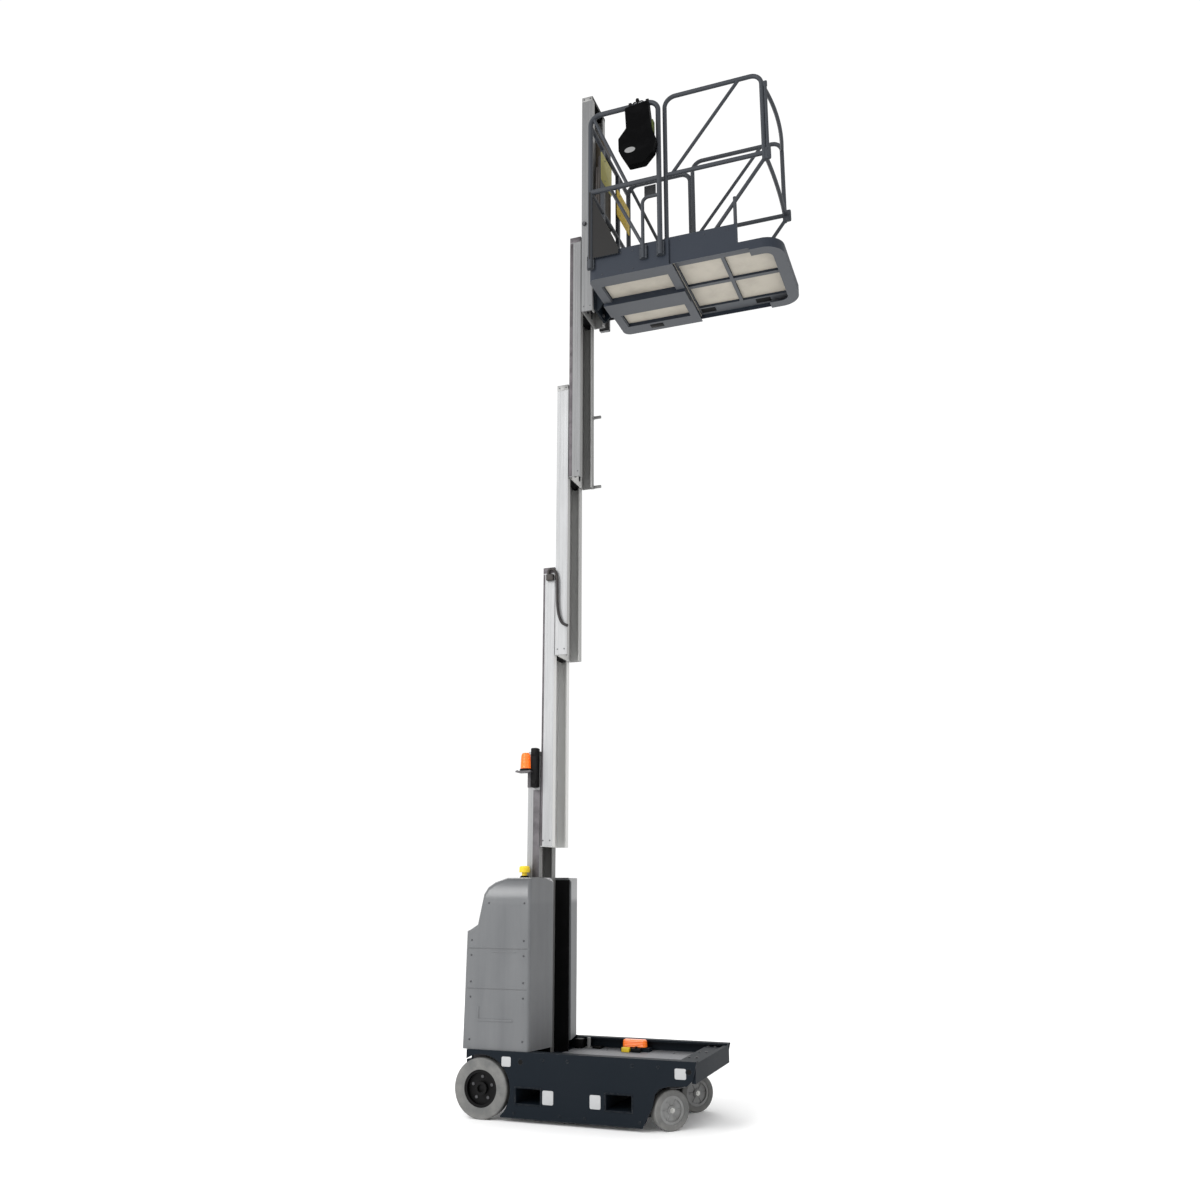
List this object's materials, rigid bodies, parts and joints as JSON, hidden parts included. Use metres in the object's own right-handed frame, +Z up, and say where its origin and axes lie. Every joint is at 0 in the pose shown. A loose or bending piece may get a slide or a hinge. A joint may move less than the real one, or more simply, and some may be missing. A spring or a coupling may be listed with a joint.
{
  "type": "vertical mast lift",
  "caption": "Self-propelled personnel lift: a nested aluminium mast raises a railed platform with a roll-out deck above a low wheeled chassis.",
  "frame": {"origin": "on the floor under the middle of the whole machine's length, in the chassis's upright middle plane (the control box outside the right rail reaches 52 mm further than the left side)", "axes": "+X forward toward the casters, +Y to the machine's left, +Z up along the mast"},
  "size_m": [1.97, 0.846, 6.439],
  "materials": {
    "chassis_paint": "semi-gloss slate",
    "deck_grey": "satin",
    "cover_grey": "moulded satin",
    "black_plastic": "matte",
    "mast_alloy": "drawn, satin",
    "rail_paint": "semi-gloss dark grey",
    "carriage_paint": "satin",
    "floor_sheet": "mill finish",
    "grey_tyre": "non-marking",
    "black_hub": "semi-gloss",
    "caster_hub": "matte",
    "amber_lens": "clear gloss",
    "yellow_plastic": "gloss",
    "battery_case": "matte",
    "cast_block": "rough"
  },
  "bodies": {
    "chassis": {"chassis_frame": "chassis_paint", "side_plate_right": "chassis_paint", "side_plate_left": "chassis_paint", "fork_tubes": "chassis_paint", "deck_plate": "deck_grey", "front_beam": "chassis_paint", "cover_right": "cover_grey", "cover_left": "cover_grey", "rear_panel": "cover_grey", "ground_control_box": "black_plastic", "slot_trim": "black_plastic", "battery_block": "battery_case", "power_unit": "cast_block", "drive_motors": "black_hub", "mast_1": "mast_alloy", "mast_1_fittings": "black_plastic", "beacon_bracket": "rail_paint", "mast_beacon": "amber_lens", "lowering_knob": "yellow_plastic", "deck_lamp_base": "chassis_paint", "deck_lamp": "amber_lens"},
    "mast_stage_2": {"mast_2": "mast_alloy", "mast_2_fittings": "black_plastic"},
    "mast_stage_3": {"mast_3": "mast_alloy", "mast_3_fittings": "black_plastic"},
    "mast_stage_4": {"mast_4": "mast_alloy", "mast_4_fittings": "black_plastic"},
    "platform": {"mast_5": "mast_alloy", "mast_5_fittings": "black_plastic", "carriage": "carriage_paint", "platform_frame": "chassis_paint", "platform_floor": "floor_sheet", "main_rail_right": "rail_paint", "main_rail_left": "rail_paint", "rear_rail": "rail_paint", "platform_control_box": "black_plastic"},
    "extension_deck": {"extension_frame": "chassis_paint", "extension_floor": "floor_sheet", "extension_rail_right": "rail_paint", "extension_rail_left": "rail_paint", "front_rail": "rail_paint"},
    "drive_wheel_right": {"drive_tyre_right": "grey_tyre", "drive_hub_right": "black_hub"},
    "caster_swivel_right": {"caster_knuckle_right": "black_hub"},
    "caster_wheel_right": {"caster_tyre_right": "grey_tyre", "caster_hub_right": "caster_hub"},
    "drive_wheel_left": {"drive_tyre_left": "grey_tyre", "drive_hub_left": "black_hub"},
    "caster_swivel_left": {"caster_knuckle_left": "black_hub"},
    "caster_wheel_left": {"caster_tyre_left": "grey_tyre", "caster_hub_left": "caster_hub"}
  },
  "joints": [
    {"name": "mast_lift", "type": "slide", "parent": "chassis", "child": "mast_stage_2", "axis": [0, 0, 1], "range_m": [-1.13, 0]},
    {"name": "mast_lift_3", "type": "slide", "parent": "mast_stage_2", "child": "mast_stage_3", "axis": [0, 0, 1], "range_m": [-1.13, 0]},
    {"name": "mast_lift_4", "type": "slide", "parent": "mast_stage_3", "child": "mast_stage_4", "axis": [0, 0, 1], "range_m": [-1.13, 0]},
    {"name": "mast_lift_5", "type": "slide", "parent": "mast_stage_4", "child": "platform", "axis": [0, 0, 1], "range_m": [-1.13, 0]},
    {"name": "extension_slide", "type": "slide", "parent": "platform", "child": "extension_deck", "axis": [1, 0, 0], "range_m": [-0.445, 0]},
    {"name": "drive_wheel_spin_right", "type": "hinge", "parent": "chassis", "child": "drive_wheel_right", "pos_m": [-0.83, -0.34, 0.155], "axis": [0, 1, 0], "continuous": true},
    {"name": "caster_swivel_turn_right", "type": "hinge", "parent": "chassis", "child": "caster_swivel_right", "pos_m": [0.22, -0.25, 0.22], "axis": [0, 0, 1], "continuous": true},
    {"name": "caster_wheel_spin_right", "type": "hinge", "parent": "caster_swivel_right", "child": "caster_wheel_right", "pos_m": [0.19879, -0.27121, 0.1], "axis": [0.7071, -0.7071, 0], "continuous": true},
    {"name": "drive_wheel_spin_left", "type": "hinge", "parent": "chassis", "child": "drive_wheel_left", "pos_m": [-0.83, 0.34, 0.155], "axis": [0, 1, 0], "continuous": true},
    {"name": "caster_swivel_turn_left", "type": "hinge", "parent": "chassis", "child": "caster_swivel_left", "pos_m": [0.22, 0.25, 0.22], "axis": [0, 0, 1], "continuous": true},
    {"name": "caster_wheel_spin_left", "type": "hinge", "parent": "caster_swivel_left", "child": "caster_wheel_left", "pos_m": [0.19879, 0.22879, 0.1], "axis": [0.7071, -0.7071, 0], "continuous": true}
  ],
  "couplings": [
    {"joint": "mast_lift_3", "follows": "mast_lift", "ratio": 1},
    {"joint": "mast_lift_4", "follows": "mast_lift", "ratio": 1},
    {"joint": "mast_lift_5", "follows": "mast_lift", "ratio": 1}
  ]
}
